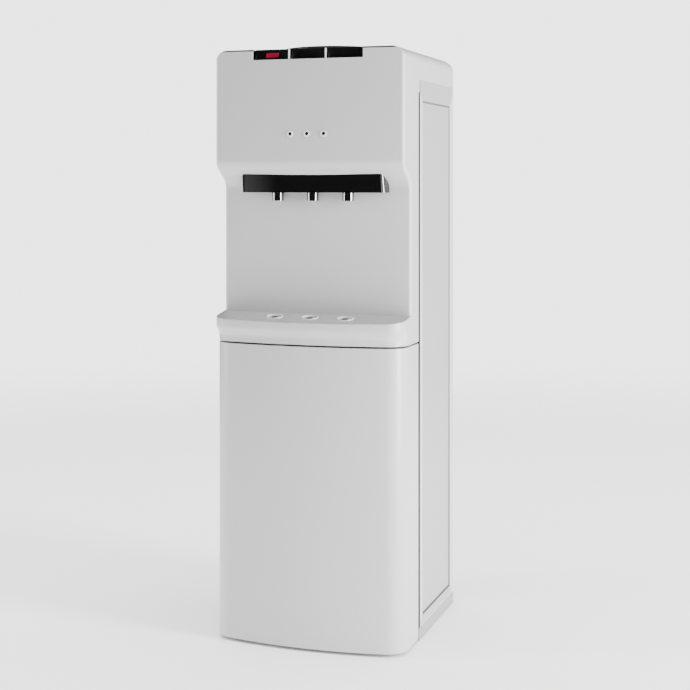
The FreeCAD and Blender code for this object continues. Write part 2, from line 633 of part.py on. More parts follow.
def door_skin():
    skin = val("skin")
    low, high = val("door_low"), val("door_high")
    shell = bowed_plan(val("door_back"), val("door_ends"), val("door_round"), low, high)
    room = bowed_plan(val("door_back"), val("door_ends"), val("door_round"), low + skin, high - skin, skin)
    rear = slab((-val("cab_width"), val(DOOR_BACK), 0), (val("cab_width"), val("cab_depth"), val("top_z")))
    shell = shell.cut(room).cut(rear)
    pin = Part.makeCylinder(val("hinge_rad + hinge_room"), val("top_z"), Vec(val(HINGE_X), val(HINGE_Y), 0))
    return shell.cut(pin)


piece(shaped("door_skin", door_skin()), "door_skin")
inner = box("door_inner", ("-half_w + skin", f"{DOOR_BACK} - skin", "door_low + skin"),
            ("half_w - skin", DOOR_BACK, "door_high - skin"))
blocks = []
for low, high in (("door_low + skin", "door_low + skin + knuckle"),
                  ("door_high - skin - knuckle", "door_high - skin")):
    blocks.append(box("door_block", (f"{HINGE_X} - hinge_half", f"{HINGE_Y} - hinge_half", low),
                      ("half_w - skin", f"{DOOR_BACK} - skin", high)))
inner = fuse("door_inner_block", inner, *blocks)
bore = cylinder("door_bore", "hinge_rad + hinge_run", "top_z", (HINGE_X, HINGE_Y, "0"))
piece(cut("door_panel", inner, bore), "door_panel")
upper_arm = box("hinge_arm_up",
                (f"{HINGE_X} - hinge_half", f"{HINGE_Y} - hinge_half", "shelf_low + catch_gap"),
                ("half_w - skin", f"{HINGE_Y} + hinge_half", "shelf_low + hinge_half"))
upper_pin = cylinder("hinge_pin_up", "hinge_rad", "door_gap + skin + hinge_pin + catch_gap",
                     (HINGE_X, HINGE_Y, "door_high - skin - hinge_pin"))
piece(fuse("upper_hinge", upper_arm, upper_pin), "upper_hinge")
LEG_BACK = "seam_y + cab_set"
lower_arm = box("hinge_arm_low", (f"{HINGE_X} - hinge_half", f"{HINGE_Y} - hinge_half", "hinge_low"),
                ("half_w - skin", LEG_BACK, "door_low - strike_thick"))
lower_leg = box("hinge_leg", (f"{HINGE_X} - hinge_half", f"{LEG_BACK} - hinge_plate", "hinge_low"),
                ("half_w - skin", LEG_BACK, "base_top"))
lower_pin = cylinder("hinge_pin_low", "hinge_rad", "skin + hinge_pin + hinge_plate",
                     (HINGE_X, HINGE_Y, "door_low - hinge_plate"))
piece(fuse("lower_hinge", lower_arm, lower_leg, lower_pin), "lower_hinge")

# Base and cabinet: pressed base pan on four feet, embossed side panels, back sheet, storage liner, tank deck
CAB_FRONT = "seam_y + cab_set"
base = new_body("base_pan")
pad(base, outline(base, "XY_Plane", [("-half_w", CAB_FRONT), ("half_w", CAB_FRONT), ("half_w", "back_y"),
                                     ("-half_w", "back_y")], "foot_high"), "base_top - foot_high")
doc.recompute()
rim = [("-half_w + steel", f"{CAB_FRONT} + steel"), ("half_w - steel", f"{CAB_FRONT} + steel"),
       ("half_w - steel", "back_y - steel"), ("-half_w + steel", "back_y - steel")]
pocket(base, outline(base, "XY_Plane", rim, "base_top"), "base_top - foot_high - steel")
piece(base, "base_pan")
FOOT_PLACES = [(f"{sx}*(half_w - foot_inset)", y) for sx in ("-1", "1")
               for y in (f"{CAB_FRONT} + foot_inset", "back_y - foot_inset")]
feet = [cylinder("foot", "foot_rad", "foot_high", (x, y, "0")) for x, y in FOOT_PLACES]
piece(group("levelling_feet", *feet), "levelling_feet")
PANEL_FRONT = "seam_y + seam_gap"
for name, side in (("left", "-1"), ("right", "1")):
    panel = new_body(f"side_panel_{name}")
    shape = [(PANEL_FRONT, "base_top"), ("back_y", "base_top"),
             ("back_y", "frame_low"), (PANEL_FRONT, "frame_low")]
    outer = f"{side}*half_w"
    pad(panel, outline(panel, "YZ_Plane", shape, outer), "2*steel", back=name == "right")
    doc.recompute()
    field = [(f"{PANEL_FRONT} + emboss_front", "base_top + emboss_low"),
             ("back_y - emboss_side", "base_top + emboss_low"),
             ("back_y - emboss_side", "frame_low - emboss_top"),
             (f"{PANEL_FRONT} + emboss_front", "frame_low - emboss_top")]
    press = pocket(panel, outline(panel, "YZ_Plane", field, outer), "emboss_deep", back=name == "left")
    press.setExpression("TaperAngle", bound("-emboss_slope"))
    piece(panel, f"side_panel_{name}")
    edges = sorted((f"{side}*(half_w - skin)", f"{side}*(half_w - gasket_in)"), key=val)
    gasket = box(f"seam_gasket_{name}", (edges[0], "seam_y + gasket_set", "base_top"),
                 (edges[1], PANEL_FRONT, "frame_low"))
    piece(gasket, f"seam_gasket_{name}")
IN_X = "half_w - 2*steel"
back = box("back_sheet", (f"-({IN_X})", "back_sheet_y", "base_top"),
           (IN_X, "back_sheet_y + steel", "frame_low"))
VENTS = 10
vents = [box("vent", (f"{sx}*vent_spread - vent_wide/2", "back_sheet_y - steel",
                      f"base_top + vent_rise + {k}*3*vent_high"),
             (f"{sx}*vent_spread + vent_wide/2", "back_sheet_y + 2*steel",
              f"base_top + vent_rise + ({k}*3 + 1)*vent_high"))
         for sx in ("-1", "0", "1") for k in range(VENTS)]
SWITCH_X = [f"half_w*0.62 + {k}*switch_wide*1.7" for k in ("-0.5", "0.5")]
ports = [box("switch_port", (f"{x} - switch_wide/2", "back_sheet_y - steel", "switch_z - switch_high/2"),
             (f"{x} + switch_wide/2", "back_sheet_y + 2*steel", "switch_z + switch_high/2"))
         for x in SWITCH_X]
holes = fuse("back_holes", *vents, *ports)
piece(cut("back_panel", back, holes), "back_panel")
liner = new_body("cabinet_liner")
block = [(f"-({IN_X} - fit_gap)", "liner_low"), (f"{IN_X} - fit_gap", "liner_low"),
         (f"{IN_X} - fit_gap", "liner_high"), (f"-({IN_X} - fit_gap)", "liner_high")]
pad(liner, outline(liner, "XZ_Plane", block, f"-({CAB_FRONT})"), "liner_deep", back=True)
doc.recompute()
mouth = [("-(half_w - 5*steel)", "liner_low + 2*steel"), ("half_w - 5*steel", "liner_low + 2*steel"),
         ("half_w - 5*steel", "liner_high - 2*steel"), ("-(half_w - 5*steel)", "liner_high - 2*steel")]
pocket(liner, outline(liner, "XZ_Plane", mouth, f"-({CAB_FRONT})"), "liner_deep - 2*steel")
piece(liner, "cabinet_liner")
deck = box("tank_deck", (f"-({IN_X})", CAB_FRONT, "deck_z"), (IN_X, "back_sheet_y", "deck_z + 2*steel"))
piece(deck, "tank_deck")

# Water and cooling: tanks on the deck, compressor on the base, tube grid behind the back sheet
TANK = ("0", "tank_y", "0")
HOT_TOP = "hot_low + hot_high"
hot_profile = [("0", "hot_low"), ("hot_rad", "hot_low"), ("hot_rad", f"{HOT_TOP} - hot_slope"),
               ("hot_rad - hot_crown", HOT_TOP), ("0", HOT_TOP), ("0", f"{HOT_TOP} - steel"),
               ("hot_rad - hot_crown - steel", f"{HOT_TOP} - steel"),
               ("hot_rad - steel", f"{HOT_TOP} - hot_slope - steel"), ("hot_rad - steel", "hot_low + steel"),
               ("0", "hot_low + steel")]
piece(turned("hot_tank", hot_profile, TANK), "hot_tank")
legs = [cylinder("tank_leg", "leg_rad", "cold_low - foam - deck_z - 2*steel",
                 (f"{sx}*cold_rad", f"{TANK[1]} + ({sy})*cold_rad*0.6", "deck_z + 2*steel"))
        for sx in ("-1", "1") for sy in ("-1", "1")]
piece(group("tank_legs", *legs), "tank_legs")
piece(turned("hot_tank_stand", [("hot_rad - stand_in - stand_wide", "deck_z + 2*steel"),
                                ("hot_rad - stand_in", "deck_z + 2*steel"), ("hot_rad - stand_in", "hot_low"),
                                ("hot_rad - stand_in - stand_wide", "hot_low")], TANK), "hot_tank_stand")
COLD_TOP = "cold_low + cold_high"
cold_profile = [("0", "cold_low"), ("cold_rad", "cold_low"), ("cold_rad", COLD_TOP), ("0", COLD_TOP),
                ("0", f"{COLD_TOP} - steel"), ("cold_rad - steel", f"{COLD_TOP} - steel"),
                ("cold_rad - steel", "cold_low + steel"), ("0", "cold_low + steel")]
piece(turned("cold_tank", cold_profile, TANK), "cold_tank")
piece(turned("tank_insulation", [("0", "cold_low - foam"), ("cold_rad + foam", "cold_low - foam"),
                                 ("cold_rad + foam", COLD_TOP), ("cold_rad", COLD_TOP),
                                 ("cold_rad", "cold_low"), ("0", "cold_low")], TANK), "tank_insulation")
piece(cylinder("feed_pipe", "feed_rad", "top_z - well_deep - feed_high - cold_low - cold_high",
               ("0", "seat_y", "cold_low + cold_high")), "feed_pipe")
RUNS = 10
WIRES = 14
COMP = ("0", "comp_back", "0")
COMP_LOW = "foot_high + steel + mount_high"
COMP_TOP = f"{COMP_LOW} + comp_high"
shell_profile = [
    ("0", COMP_LOW), ("comp_rad - comp_chin", COMP_LOW), ("comp_rad", f"{COMP_LOW} + comp_foot"),
    ("comp_rad", f"{COMP_TOP} - comp_brow"), ("comp_rad - comp_dome", f"{COMP_TOP} - comp_crown"),
    ("comp_rad - comp_brow", COMP_TOP), ("0", COMP_TOP),
]
piece(turned("compressor", shell_profile, COMP), "compressor")
grommets = [cylinder("grommet", "mount_rad", "mount_high",
                     (f"{sx}*comp_rad*0.5", f"comp_back + ({sy})*comp_rad*0.5", "foot_high + steel"))
            for sx in ("-1", "1") for sy in ("-1", "1")]
piece(group("compressor_mounts", *grommets), "compressor_mounts")


def condenser_tube():
    """Serpentine tube of the heat exchanger: level runs joined by half circles."""
    radius, low, high = val("tube_rad"), val("grid_low"), val("grid_high")
    step = (high - low) / (RUNS - 1)
    y = val("back_sheet_y + steel + 4*tube_rad")
    half = val("half_w - tube_in") - step / 2
    edges = []
    for k in range(RUNS):
        side = 1 if k % 2 == 0 else -1
        z = low + k * step
        edges.append(Part.LineSegment(Vec(-side * half, y, z), Vec(side * half, y, z)).toShape())
        if k < RUNS - 1:
            edges.append(Part.Arc(Vec(side * half, y, z), Vec(side * (half + step / 2), y, z + step / 2),
                                  Vec(side * half, y, z + step)).toShape())
    path = Part.Wire(edges)
    ring = Part.Wire([Part.Circle(Vec(-half, y, low), Vec(1, 0, 0), radius).toShape()])
    return path.makePipeShell([ring], True, False)


piece(shaped("condenser_tube", condenser_tube()), "condenser_tube")
wires = [cylinder("wire", "wire_rad", "grid_high - grid_low + 12*tube_rad",
                  (f"({k} - ({WIRES} - 1)/2)*wire_span/{WIRES}",
                   "back_sheet_y + steel + 5*tube_rad + wire_rad", "grid_low - 6*tube_rad"))
         for k in range(WIRES)]
piece(group("condenser_wires", *wires), "condenser_wires")
clips = [box("clip", (f"{sx}*cab_width*0.3 - clip_half", "back_sheet_y + steel", f"{z} - clip_tall"),
             (f"{sx}*cab_width*0.3 + clip_half", "back_sheet_y + steel + 3*tube_rad", f"{z} + clip_tall"))
         for sx in ("-1", "1") for z in ("grid_low", "grid_high")]
piece(group("condenser_clips", *clips), "condenser_clips")

# Back fittings: heat and cooling rockers, cord gland, drain plug; screws hold the back sheet
plate = box("switch_frame",
            (f"{SWITCH_X[0]} - switch_wide", "back_sheet_y + steel", "switch_z - switch_high*0.8"),
            (f"{SWITCH_X[1]} + switch_wide", "back_sheet_y + 2*steel", "switch_z + switch_high*0.8"))
frame_ports = [box("frame_port", (f"{x} - switch_wide/2", "back_sheet_y", "switch_z - switch_high/2"),
                   (f"{x} + switch_wide/2", "back_sheet_y + 3*steel", "switch_z + switch_high/2"))
               for x in SWITCH_X]
piece(cut("switch_plate", plate, *frame_ports), "switch_plate")
ROCKER_FACE = "back_sheet_y + 2*steel"
ROCKER_HALF = "switch_high/2 - rocker_trim"
wedge = [(f"{ROCKER_FACE} - rocker_deep", f"switch_z - ({ROCKER_HALF}) + rocker_taper"),
         (f"{ROCKER_FACE} + rocker_proud", f"switch_z - ({ROCKER_HALF})"),
         (f"{ROCKER_FACE} + rocker_mid", "switch_z"),
         (f"{ROCKER_FACE} + rocker_low", f"switch_z + {ROCKER_HALF}"),
         (f"{ROCKER_FACE} - rocker_deep", f"switch_z + {ROCKER_HALF} - rocker_taper")]
for name, x in zip(("heat", "cool"), SWITCH_X):
    rocker = new_body(f"rocker_{name}")
    pad(rocker, outline(rocker, "YZ_Plane", wedge, x), "switch_wide - 2*rocker_gap", symmetric=True)
    piece(rocker, f"rocker_{name}")
GLAND = ("-half_w*0.7", "back_sheet_y + steel", "grid_low - fitting_drop")
gland = doc.addObject("Part::Cone", "gland_cone")
for prop, text in (("Radius1", "gland_rad"), ("Radius2", "gland_tip"), ("Height", "gland_long")):
    gland.setExpression(prop, bound(text))
gland.Placement = FreeCAD.Placement(Vec(), FreeCAD.Rotation(Vec(1, 0, 0), -90))
bind_place(gland, GLAND)
piece(cut("cord_gland", gland, cylinder("gland_bore", "cord_rad", "2*gland_long", GLAND, "y")), "cord_gland")
DRAIN = ("half_w*0.7", "back_sheet_y + steel", "grid_low - fitting_drop")
CAP = (DRAIN[0], f"{DRAIN[1]} + cap_set", DRAIN[2])
outlet = cylinder("drain_pipe", "outlet_rad", "outlet_long", DRAIN, "y")
flange = cylinder("drain_flange", "flange_rad", "flange_thick", DRAIN, "y")
piece(fuse("drain_outlet", outlet, flange), "drain_outlet")
cap = cylinder("drain_cap_round", "cap_rad", "cap_long", CAP, "y")
cap_room = cylinder("drain_cap_room", "outlet_rad + hinge_run", "cap_deep", CAP, "y")
piece(cut("drain_cap", cap, cap_room), "drain_cap")
SCREW_ROWS = ("base_top + screw_edge", "grid_high + screw_rise", "frame_low - screw_edge")
screws = [cylinder("screw", "screw_rad", "screw_high",
                   (f"{sx}*(half_w - screw_in)", "back_sheet_y + steel", z), "y")
          for sx in ("-1", "1") for z in SCREW_ROWS]
piece(group("back_screws", *screws), "back_screws")

# Inside the front: pipes from the taps towards the tanks, and the magnet that holds the door shut
pipes = [cylinder("supply_pipe", "pipe_rad", "pipe_long",
                  (place, "wall_y + skin + pipe_gap", "bar_low + pipe_rise"), "y")
         for place in spread(KEYS, "tap_pitch")]
piece(group("supply_pipes", *pipes), "supply_pipes")
CATCH_OUT, CATCH_IN = f"-({IN_X} - catch_in)", f"-({IN_X} - catch_in - catch_wide)"
CATCH_LOW = "liner_high + catch_gap"
CATCH_BACK = f"{CAB_FRONT} + catch_deep"
piece(box("door_magnet", (CATCH_OUT, f"{DOOR_BACK} + strike_thick + catch_gap", CATCH_LOW),
          (CATCH_IN, CATCH_BACK, f"{CATCH_LOW} + catch_high")), "door_magnet")
bracket = box("magnet_bracket", (CATCH_OUT, CATCH_BACK, "liner_high"),
              (CATCH_IN, f"{CATCH_BACK} + hinge_plate", "deck_z"))
piece(bracket, "magnet_bracket")
piece(box("door_strike", (CATCH_OUT, DOOR_BACK, CATCH_LOW),
          (CATCH_IN, f"{DOOR_BACK} + strike_thick", f"{CATCH_LOW} + catch_high")), "door_strike")

# Check every object and write each piece to its own file
doc.recompute()
for obj in doc.Objects:
    if "Invalid" in obj.State or "Error" in obj.State:
        raise RuntimeError(f"{obj.Label} did not build: {obj.State}")
os.makedirs("parts", exist_ok=True)
for obj in pieces:
    shape = obj.Shape
    if shape.isNull() or not shape.isValid() or not shape.Solids:
        raise RuntimeError(f"{obj.Label} has no valid solid")
    shape.exportStep(f"parts/{obj.Label}.step")
    print(obj.Label, len(shape.Solids), round(shape.Volume))
print(len(pieces), "pieces")
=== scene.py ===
import json
import math
import bpy
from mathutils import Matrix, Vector


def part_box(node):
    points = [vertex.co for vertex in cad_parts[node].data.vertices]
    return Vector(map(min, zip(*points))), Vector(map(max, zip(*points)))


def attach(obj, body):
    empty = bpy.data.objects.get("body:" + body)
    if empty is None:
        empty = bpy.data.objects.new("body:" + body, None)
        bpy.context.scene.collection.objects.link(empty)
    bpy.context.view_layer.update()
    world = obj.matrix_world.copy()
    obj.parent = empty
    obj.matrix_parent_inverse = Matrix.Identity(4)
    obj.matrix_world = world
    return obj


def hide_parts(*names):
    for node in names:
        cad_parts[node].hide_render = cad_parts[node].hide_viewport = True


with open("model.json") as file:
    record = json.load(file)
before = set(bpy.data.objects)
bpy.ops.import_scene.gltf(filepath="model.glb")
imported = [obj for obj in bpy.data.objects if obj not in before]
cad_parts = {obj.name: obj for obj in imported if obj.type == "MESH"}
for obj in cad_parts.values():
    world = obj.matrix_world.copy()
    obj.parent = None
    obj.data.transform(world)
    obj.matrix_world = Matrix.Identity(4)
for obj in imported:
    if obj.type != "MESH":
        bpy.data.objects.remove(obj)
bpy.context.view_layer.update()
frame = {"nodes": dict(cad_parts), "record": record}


# Base pan: a shallow tray pressed from sheet steel and powder-coated white.
# The cabinet's panels stand on its rim, and four rubber feet are screwed up into its corners.
class Tone:
    """A socket of a finish. Sums, differences and products of tones add the nodes that work them out."""

    def __init__(self, tree, socket=None):
        self.tree = tree
        self.socket = socket

    def node(self, kind, settings=None, sockets=None, out=0):
        """Any node: its settings are set first, then the values or links of its sockets."""
        node = self.tree.nodes.new(kind)
        for key, value in (settings or {}).items():
            setattr(node, key, value)
        for key, value in (sockets or {}).items():
            if isinstance(value, Tone):
                self.tree.links.new(value.socket, node.inputs[key])
            else:
                node.inputs[key].default_value = value
        return Tone(self.tree, node.outputs[out])

    def maths(self, operation, other=0.0):
        """A Math node on this tone and, where it takes two, another tone or a number."""
        return self.node("ShaderNodeMath", {"operation": operation}, {0: self, 1: other})

    def __add__(self, other):
        return self.maths("ADD", other)

    def __sub__(self, other):
        return self.maths("SUBTRACT", other)

    def __rsub__(self, other):
        return self.node("ShaderNodeMath", {"operation": "SUBTRACT"}, {0: other, 1: self})

    def __mul__(self, other):
        return self.maths("MULTIPLY", other)

    __radd__ = __add__
    __rmul__ = __mul__

    def axis(self, letter):
        """One coordinate of a place: X, Y or Z."""
        return self.node("ShaderNodeSeparateXYZ", None, {"Vector": self}, out=letter)

    def ramp(self, start, end):
        """Nought up to a start, one from an end on, and a smooth passage between them."""
        return self.node("ShaderNodeMapRange", {"interpolation_type": "SMOOTHSTEP"},
                         {"Value": self, "From Min": start, "From Max": end})

    def cloud(self, scale, detail=2.0, stretch=(1, 1, 1)):
        """Soft noise over the piece, drawn out along the axes whose stretch is small."""
        spread = self.node("ShaderNodeMapping", None, {"Vector": self, "Scale": stretch})
        return self.node("ShaderNodeTexNoise", None, {"Vector": spread, "Scale": scale, "Detail": detail})

    def between(self, low, high):
        """A colour between two, by this tone. The low one may be a tone itself."""
        low = low if isinstance(low, Tone) else (*low, 1)
        return self.node("ShaderNodeMix", {"data_type": "RGBA"}, {0: self, 6: low, 7: (*high, 1)}, out=2)

    def relief(self, height, strength):
        """The surface's normal under a relief of this tone, in metres from low to high."""
        return self.node("ShaderNodeBump", None, {"Height": self, "Distance": height, "Strength": strength})


def finish(name, **constants):
    """A new finish: its material, its shader's sockets and the piece's own coordinates."""
    material = bpy.data.materials.new(name)
    material.use_nodes = True
    tree = material.node_tree
    shader = tree.nodes["Principled BSDF"].inputs
    for socket, value in constants.items():
        shader[socket.replace("_", " ")].default_value = value
    return material, shader, Tone(tree).node("ShaderNodeTexCoord", out="Object")


def feed(shader, **tones):
    """Links tones to a shader's sockets."""
    for socket, tone in tones.items():
        tone.tree.links.new(tone.socket, shader[socket.replace("_", " ")])


def shade(colour, by):
    """A colour made darker or lighter."""
    return tuple(min(1.0, part * by) for part in colour)


def powder_coat(name):
    """Paint baked on sheet steel, with a fine orange peel and duller patches. Its colour comes later."""
    material, shader, spot = finish(name, Specular_IOR_Level=0.45)
    patches = spot.cloud(5)
    feed(shader, Roughness=patches * 0.08 + 0.38, Normal=spot.cloud(420, 3).relief(0.00004, 0.35))
    return material, shader, spot, patches


def only(piece):
    """Selects one piece and nothing else."""
    bpy.ops.object.select_all(action="DESELECT")
    piece.select_set(True)
    bpy.context.view_layer.objects.active = piece


SMOOTH_BELOW = math.radians(35)


def broken_edges(piece, edge, segments=2, sharp=38):
    """Rounds every edge of a piece that is sharper than an angle, and shades its faces smooth."""
    only(piece)
    bevel = piece.modifiers.new("broken edges", "BEVEL")
    bevel.width = edge
    bevel.segments = segments
    bevel.limit_method = "ANGLE"
    bevel.angle_limit = math.radians(sharp)
    bevel.miter_outer = "MITER_ARC"
    bevel.harden_normals = True
    bpy.ops.object.shade_smooth_by_angle(angle=SMOOTH_BELOW)
    bpy.ops.object.modifier_apply(modifier=bevel.name)


NODES = frame["nodes"]
BODY_OF = {node: body for body, nodes in frame["record"]["behaviour"]["bodies"].items() for node in nodes}


def stands_for(piece, material, node):
    """A finished piece takes a CAD piece's place and motion."""
    piece.data.materials.clear()
    piece.data.materials.append(material)
    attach(piece, BODY_OF[node])
    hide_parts(node)


SAME_PLACE = 2e-6


def merged_copy(node):
    """A copy of a CAD piece with its loose triangles joined where their corners meet."""
    piece = bpy.data.objects.new(f"{node}_body", NODES[node].data.copy())
    bpy.context.scene.collection.objects.link(piece)
    only(piece)
    bpy.ops.mesh.customdata_custom_splitnormals_clear()
    bpy.ops.object.mode_set(mode="EDIT")
    bpy.ops.mesh.select_all(action="SELECT")
    bpy.ops.mesh.remove_doubles(threshold=SAME_PLACE)
    bpy.ops.object.mode_set(mode="OBJECT")
    return piece


def faces_where(piece, test):
    """Selects the faces whose centre and normal pass a test, in face mode."""
    only(piece)
    bpy.ops.object.mode_set(mode="EDIT")
    bpy.ops.mesh.select_mode(type="FACE")
    bpy.ops.mesh.select_all(action="DESELECT")
    bpy.ops.object.mode_set(mode="OBJECT")
    for face in piece.data.polygons:
        face.select = test(face.center, face.normal)
    bpy.ops.object.mode_set(mode="EDIT")


# How upright a normal is at least, for its face to count as level
FLAT = 0.9


def looks_down(centre, normal):
    """A face that points at the floor."""
    return normal.z < -FLAT


PANEL_PAINT = (0.44, 0.44, 0.443)
PAN_PAINT = shade(PANEL_PAINT, 0.75)
SKIRT_WALL = 0.0015
SKIRT_DEEP = 0.0062
pan_white, pan_shader, _, pan_patches = powder_coat("pan white")
feed(pan_shader, Base_Color=pan_patches.between(shade(PAN_PAINT, 0.97), shade(PAN_PAINT, 1.02)))
pan_low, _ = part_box("base_pan")
pan = merged_copy("base_pan")
faces_where(pan, lambda centre, normal: looks_down(centre, normal)
            and centre.z < pan_low.z + SKIRT_WALL / 2)
bpy.ops.mesh.inset(thickness=SKIRT_WALL, use_select_inset=True)
bpy.ops.mesh.extrude_region_move(TRANSFORM_OT_translate={"value": (0, 0, -SKIRT_DEEP)})
bpy.ops.object.mode_set(mode="OBJECT")
broken_edges(pan, edge=0.0006)
stands_for(pan, pan_white, "base_pan")


# Levelling feet: four turned rubber pucks, hollow underneath so that they grip the floor.
# Each is screwed up into a corner of the pan. One is modelled and copied to the other corners.
def rubber(name, colour):
    """Matt rubber with a bloom of dust."""
    material, shader, spot = finish(name, Specular_IOR_Level=0.3)
    dust_and_shade = spot.cloud(60, 4)
    feed(shader, Base_Color=dust_and_shade.between(shade(colour, 0.8), shade(colour, 1.5)),
         Roughness=dust_and_shade * 0.15 + 0.72, Normal=spot.cloud(900).relief(0.00005, 0.4))
    return material


def blank(radius, tall, sides=64):
    """A round bar at the origin, to be shaped further."""
    bpy.ops.mesh.primitive_cylinder_add(vertices=sides, radius=radius, depth=tall)
    return bpy.context.object


def set_at(piece, place, turn=(0, 0, 0)):
    """Turns and moves a piece from the origin, in its mesh."""
    piece.location = place
    piece.rotation_euler = turn
    only(piece)
    bpy.ops.object.transform_apply(location=True, rotation=True, scale=True)
    return piece


def recessed(piece, test, wall, travel):
    """Moves the middle of the faces that pass a test up or down, and leaves a wall round it."""
    faces_where(piece, test)
    bpy.ops.mesh.inset(thickness=wall)
    bpy.ops.mesh.extrude_region_move(TRANSFORM_OT_translate={"value": (0, 0, travel)})
    bpy.ops.object.mode_set(mode="OBJECT")


def repeated(piece, offsets):
    """A piece and its copies at these offsets, each with its own mesh."""
    pieces = [piece]
    for offset in offsets:
        twin = piece.copy()
        twin.data = piece.data.copy()
        bpy.context.scene.collection.objects.link(twin)
        pieces.append(set_at(twin, offset))
    return pieces


def joined(pieces, name):
    """Several like pieces as one object."""
    only(pieces[0])
    for piece in pieces:
        piece.select_set(True)
    bpy.ops.object.join()
    pieces[0].name = name
    return pieces[0]


FOOT_RADIUS = 0.014
FOOT_HOLLOW = 0.0025
FOOT_WALL = 0.004
foot_rubber = rubber("foot rubber", (0.022, 0.022, 0.023))
feet_low, feet_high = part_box("levelling_feet")
foot_middle = Vector((feet_low.x + FOOT_RADIUS, feet_low.y + FOOT_RADIUS, (feet_low.z + feet_high.z) / 2))
foot = set_at(blank(FOOT_RADIUS, feet_high.z - feet_low.z, sides=48), foot_middle)
recessed(foot, looks_down, FOOT_WALL, FOOT_HOLLOW)
broken_edges(foot, edge=0.0008)
across, along = (feet_high - feet_low).xy - Vector((2 * FOOT_RADIUS, 2 * FOOT_RADIUS))
feet = repeated(foot, ((0, along, 0), (across, 0, 0), (across, along, 0)))
stands_for(joined(feet, "levelling_feet_turned"), foot_rubber, "levelling_feet")


# Side panels: steel sheets with a wide pressed field, folded over at front and back.
# They hook into the base pan and under the top frame. Painted shade lies along the step round the field,
# the uprights and the hem carry a painted highlight, and a painted shadow runs along the front edge by the
# seam.
def pressed_sheet(name, colour, field, step, seam_shadow_to, hem_to):
    """Powder coat over a pressed field, given as its middle and half size in y and in z.

    The uprights beside the field and the hem below it carry a painted highlight, and painted shade
    darkens its step at the top, the back and the foot. A painted shadow darkens the front edge by the seam.
    """
    material, shader, spot, patches = powder_coat(name)
    (along_middle, along_half), (up_middle, up_half) = field
    along = spot.axis("Y")
    up = spot.axis("Z")
    past_side = (along - along_middle).maths("ABSOLUTE") - (along_half - step / 2)
    past_back = along - (along_middle + along_half - step / 2)
    past_end = (up - up_middle).maths("ABSOLUTE") - (up_half - step / 2)
    upright = past_side.maths("GREATER_THAN", past_end.maths("MAXIMUM"))
    bright = upright.maths("MAXIMUM", up.maths("LESS_THAN", hem_to))
    plain = patches.between(shade(colour, 0.95), shade(colour, 1.03))
    # Painted highlight: the uprights and the hem are painted brighter than the field.
    paint = bright.between(plain, shade(colour, UPRIGHT_HIGHLIGHT))
    # Painted shade: the step at the top, the back and the foot is painted darker.
    from_step = past_back.maths("MAXIMUM", past_end).maths("ABSOLUTE")
    dust_and_shade = (1 - from_step.ramp(step / 2, step)) * STEP_SHADE
    on_field = along.maths("GREATER_THAN", along_middle - along_half)
    # The step's painted shade, and a painted shadow along the front edge by the seam.
    dark = (dust_and_shade * on_field).maths("MAXIMUM", along.maths("LESS_THAN", seam_shadow_to))
    feed(shader, Base_Color=dark.between(paint, shade(colour, PAINTED_SHADE_TONE)))
    return material


# How much brighter the painted highlight on the uprights and the hem is
UPRIGHT_HIGHLIGHT = 1.5
# How strongly painted shade darkens the step, and the dark tone of the painted shade and shadow
STEP_SHADE = 0.75
PAINTED_SHADE_TONE = 0.04
FIELD_FRONT = 0.010
FIELD_SIDE = 0.016
FIELD_TOP = 0.014
FIELD_LOW = 0.016
FIELD_STEP = 0.002
NEAR_STEP = 1.5 * FIELD_STEP
# How far the field's top, front and back are moved in from where the CAD has them
FIELD_DROP = 0.0195
FIELD_SET = 0.007
FIELD_CUT = 0.009
# How wide the painted shadow along the front edge by the seam is, and how tall the hem's painted highlight
# is
SEAM_SHADOW_WIDE = 0.0026
HEM = 0.0025
panel_low, panel_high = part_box("side_panel_right")
field_front, field_back = panel_low.y + FIELD_FRONT, panel_high.y - FIELD_SIDE
field_top = panel_high.z - FIELD_TOP
field = []
for low, high in ((field_front + FIELD_SET, field_back - FIELD_CUT),
                  (panel_low.z + FIELD_LOW, field_top - FIELD_DROP)):
    field.append(((low + high) / 2, (high - low) / 2))
side_white = pressed_sheet("side white", PANEL_PAINT, field, FIELD_STEP,
                           seam_shadow_to=panel_low.y + SEAM_SHADOW_WIDE, hem_to=panel_low.z + HEM)
for node in ("side_panel_left", "side_panel_right"):
    panel = merged_copy(node)
    for vertex in panel.data.vertices:
        place = vertex.co.copy()
        if abs(place.z - field_top) < NEAR_STEP:
            vertex.co.z -= FIELD_DROP
        if abs(place.y - field_front) < NEAR_STEP:
            vertex.co.y += FIELD_SET
        if abs(place.y - field_back) < NEAR_STEP:
            vertex.co.y -= FIELD_CUT
    broken_edges(panel, edge=0.0009, segments=3)
    stands_for(panel, side_white, node)


# Storage liner and tank deck: a vacuum-formed pale box behind the door, under a galvanised shelf.
# The tanks stand on the shelf.
def moulded(name, colour, roughness, grain, coat=0.0):
    """Injection-moulded plastic: an even colour, a fine grain and a slow waviness in its gloss."""
    material, shader, spot = finish(name, Coat_Roughness=0.12, IOR=1.5)
    slow = spot.cloud(7)
    fine = spot.cloud(1500, 2)
    feed(shader, Base_Color=slow.between(shade(colour, 0.985), shade(colour, 1.015)),
         Roughness=slow * 0.06 + (roughness - 0.03), Coat_Weight=slow * 0.05 + coat,
         Normal=(fine * grain + slow * 0.3).relief(0.0001, 0.25))
    return material


